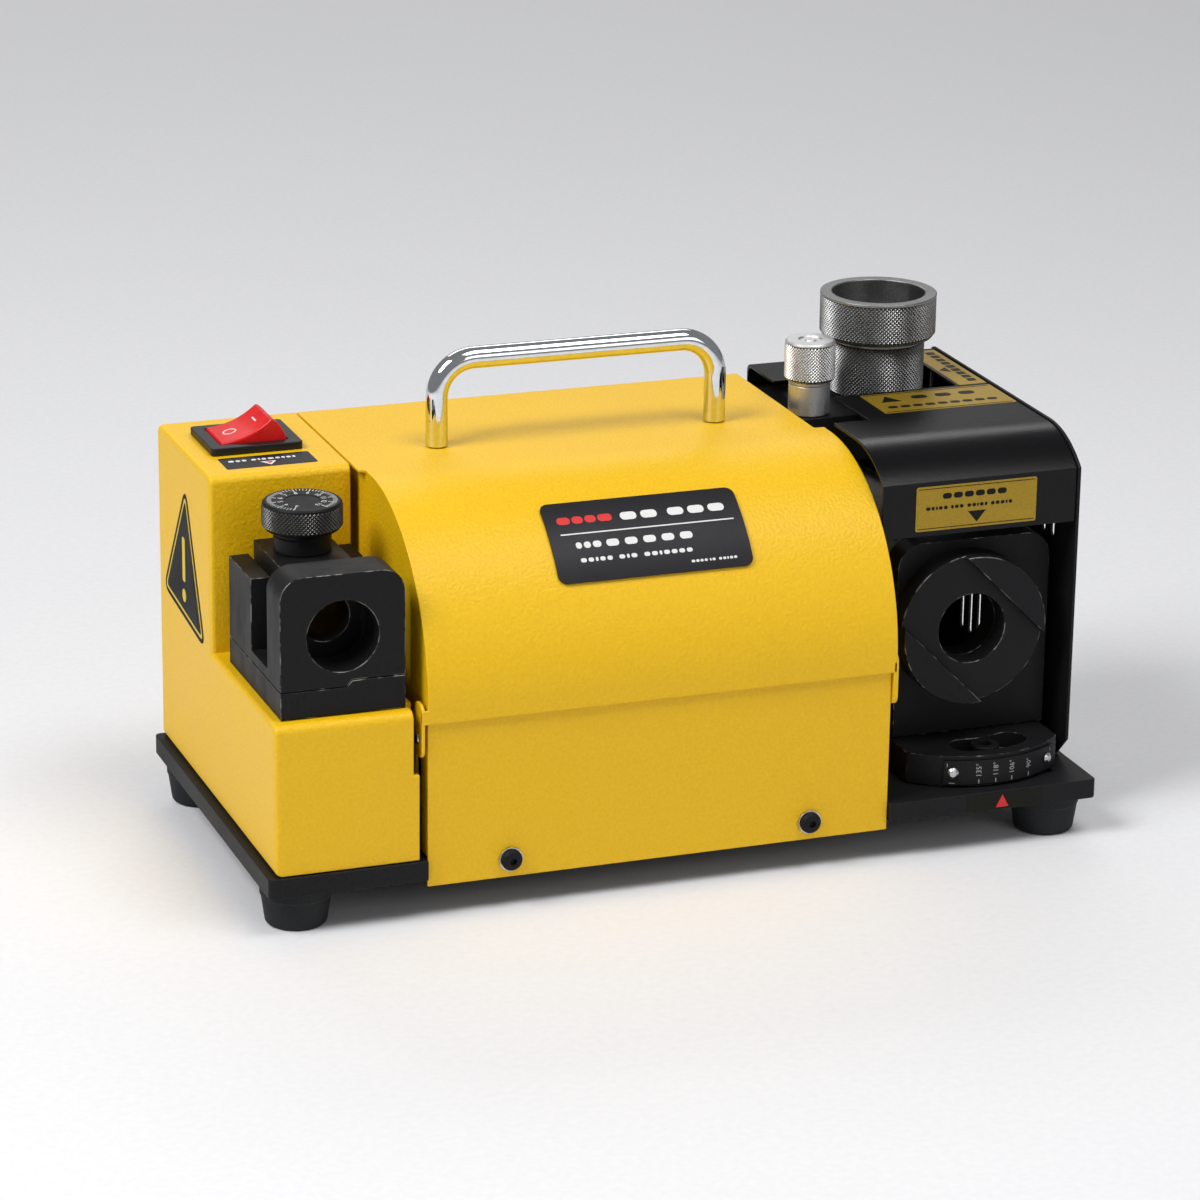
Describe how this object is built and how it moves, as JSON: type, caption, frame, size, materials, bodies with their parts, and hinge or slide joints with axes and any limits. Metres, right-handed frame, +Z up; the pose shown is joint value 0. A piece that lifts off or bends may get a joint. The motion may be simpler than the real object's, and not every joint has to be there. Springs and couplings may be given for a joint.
{
  "type": "drill bit sharpener",
  "caption": "Bench grinder for twist drills: motor under a bent hood, bored port for thinning the web on the left, swivelling port for the point on the right, collet chuck and carrying handle.",
  "frame": {"origin": "on the bench, under the middle of the base plate", "axes": "+X to the user's right along the machine, +Y away from the user, +Z up"},
  "size_m": [0.32, 0.158, 0.182],
  "materials": {
    "yellow_paint": "fine-textured powder coat",
    "black_paint": "satin",
    "black_oxide": "blackened, satin",
    "rubber": "matt",
    "chrome": "mirror",
    "knurled_steel": "diamond knurl, matt plated",
    "steel": "ground",
    "zinc": "zinc plated",
    "black_plastic": "moulded",
    "red_plastic": "translucent, polished",
    "name_foil": "printed foil",
    "cast_aluminium": "as cast",
    "laminations": "stacked steel sheet",
    "abrasive": "bonded grit",
    "grey_plastic": "moulded"
  },
  "bodies": {
    "machine": {"base_plate": "black_paint", "foot_front_left": "rubber", "foot_rear_left": "rubber", "foot_front_right": "rubber", "foot_rear_right": "rubber", "left_housing": "yellow_paint", "switch_body": "black_plastic", "web_port_base": "black_oxide", "web_knob_block": "black_oxide", "main_cover": "yellow_paint", "front_panel": "yellow_paint", "panel_washer_left": "zinc", "panel_screw_left": "black_oxide", "panel_washer_right": "zinc", "panel_screw_right": "black_oxide", "name_plate": "name_foil", "carry_handle": "chrome", "handle_screw_left": "zinc", "handle_screw_right": "zinc", "motor_housing": "black_paint", "stator_core": "laminations", "end_bell_left": "cast_aluminium", "end_bell_right": "cast_aluminium", "bearing_left": "steel", "bearing_right": "steel", "motor_cradle": "cast_aluminium", "run_capacitor": "grey_plastic", "terminal_block": "grey_plastic", "power_inlet": "black_plastic", "right_cover": "black_paint", "right_side_plate": "black_paint", "swivel_pivot": "steel", "gauge_block": "black_oxide"},
    "rocker": {"switch_rocker": "red_plastic"},
    "web_slide": {"web_port_body": "black_oxide"},
    "web_dial": {"web_dial_knob": "black_oxide"},
    "swivel": {"swivel_base": "black_paint", "scale_plate": "black_paint", "scale_screw_left": "zinc", "scale_screw_right": "zinc", "port_plate": "black_oxide", "port_ring": "black_oxide"},
    "swivel_clamp": {"swivel_clamp_screw": "black_oxide"},
    "gauge_dial": {"gauge_knob": "knurled_steel"},
    "gauge_bar": {"gauge_stop": "steel"},
    "chuck": {"chuck_body": "knurled_steel", "chuck_collet": "steel"},
    "chuck_nut": {"chuck_sleeve": "knurled_steel"},
    "rotor": {"motor_shaft": "steel", "rotor_core": "laminations", "cooling_fan": "black_plastic", "point_wheel": "abrasive", "web_wheel": "abrasive", "point_wheel_nut": "zinc", "web_wheel_nut": "zinc"}
  },
  "joints": [
    {"name": "rocker_tilt", "type": "hinge", "parent": "machine", "child": "rocker", "pos_m": [-0.13225, 0.04325, 0.1459], "axis": [0, 1, 0], "range_deg": [0, 40]},
    {"name": "web_dial_turn", "type": "hinge", "parent": "machine", "child": "web_dial", "pos_m": [-0.1307, -0.023, 0.1325], "axis": [0, 0, 1], "range_deg": [0, 300]},
    {"name": "web_slide_travel", "type": "slide", "parent": "machine", "child": "web_slide", "axis": [0, 1, 0], "range_m": [0, 0.004]},
    {"name": "swivel_turn", "type": "hinge", "parent": "machine", "child": "swivel", "pos_m": [0.1208, -0.0281, 0.0285], "axis": [0, 0, 1], "range_deg": [-18.5, 8.5]},
    {"name": "clamp_turn", "type": "hinge", "parent": "machine", "child": "swivel_clamp", "pos_m": [0.12192, -0.06008, 0.0315], "axis": [0, 0, 1], "range_deg": [0, 180]},
    {"name": "gauge_turn", "type": "hinge", "parent": "machine", "child": "gauge_dial", "pos_m": [0.0865, 0.033, 0.1605], "axis": [0, 0, 1], "range_deg": [0, 270]},
    {"name": "gauge_travel", "type": "slide", "parent": "machine", "child": "gauge_bar", "axis": [1, 0, 0], "range_m": [0, 0.003]},
    {"name": "chuck_lift", "type": "slide", "parent": "machine", "child": "chuck", "axis": [0, 0, 1], "range_m": [0, 0.05]},
    {"name": "chuck_nut_turn", "type": "hinge", "parent": "chuck", "child": "chuck_nut", "pos_m": [0.1215, 0.05, 0.1525], "axis": [0, 0, 1], "range_deg": [0, 360]},
    {"name": "rotor_spin", "type": "hinge", "parent": "machine", "child": "rotor", "pos_m": [-0.01295, 0.04, 0.0845], "axis": [1, 0, 0], "continuous": true}
  ],
  "couplings": [
    {"joint": "web_dial_turn", "follows": "web_slide_travel", "rad_per_m": 1309},
    {"joint": "gauge_travel", "follows": "gauge_turn", "m_per_rad": 0.0006365}
  ]
}
